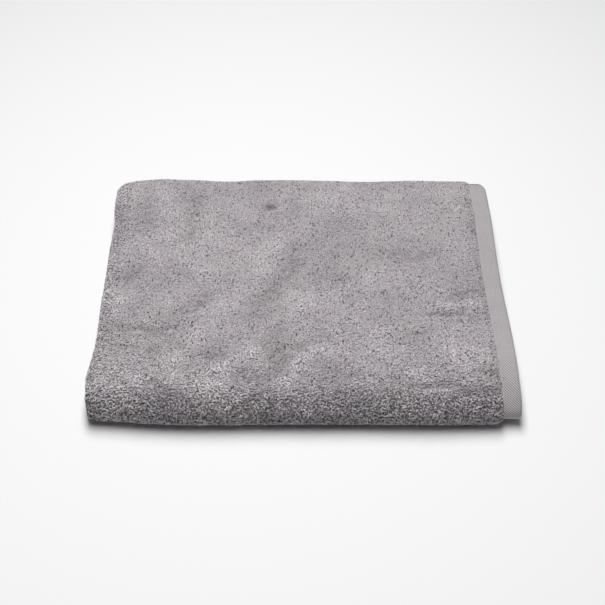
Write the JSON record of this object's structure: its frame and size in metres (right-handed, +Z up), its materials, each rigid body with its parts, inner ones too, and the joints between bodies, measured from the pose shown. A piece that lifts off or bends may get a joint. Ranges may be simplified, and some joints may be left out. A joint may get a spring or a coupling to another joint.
{
  "type": "folded pool towel",
  "caption": "Grey terry pool towel, folded flat into a soft stack of layers, with a rounded fold at the front and a flat woven hem along one side.",
  "frame": {"origin": "middle of the footprint, on the surface that the folded towel lies on", "axes": "+X along the folded width, from the folded side to the hems; +Y from the front fold to the back edges; +Z up"},
  "size_m": [0.4604, 0.4042, 0.0484],
  "materials": {
    "terry": "matt looped cotton pile, with a flat twill hem of the same yarn"
  },
  "bodies": {
    "root": {"towel_cloth": "terry"}
  },
  "joints": []
}
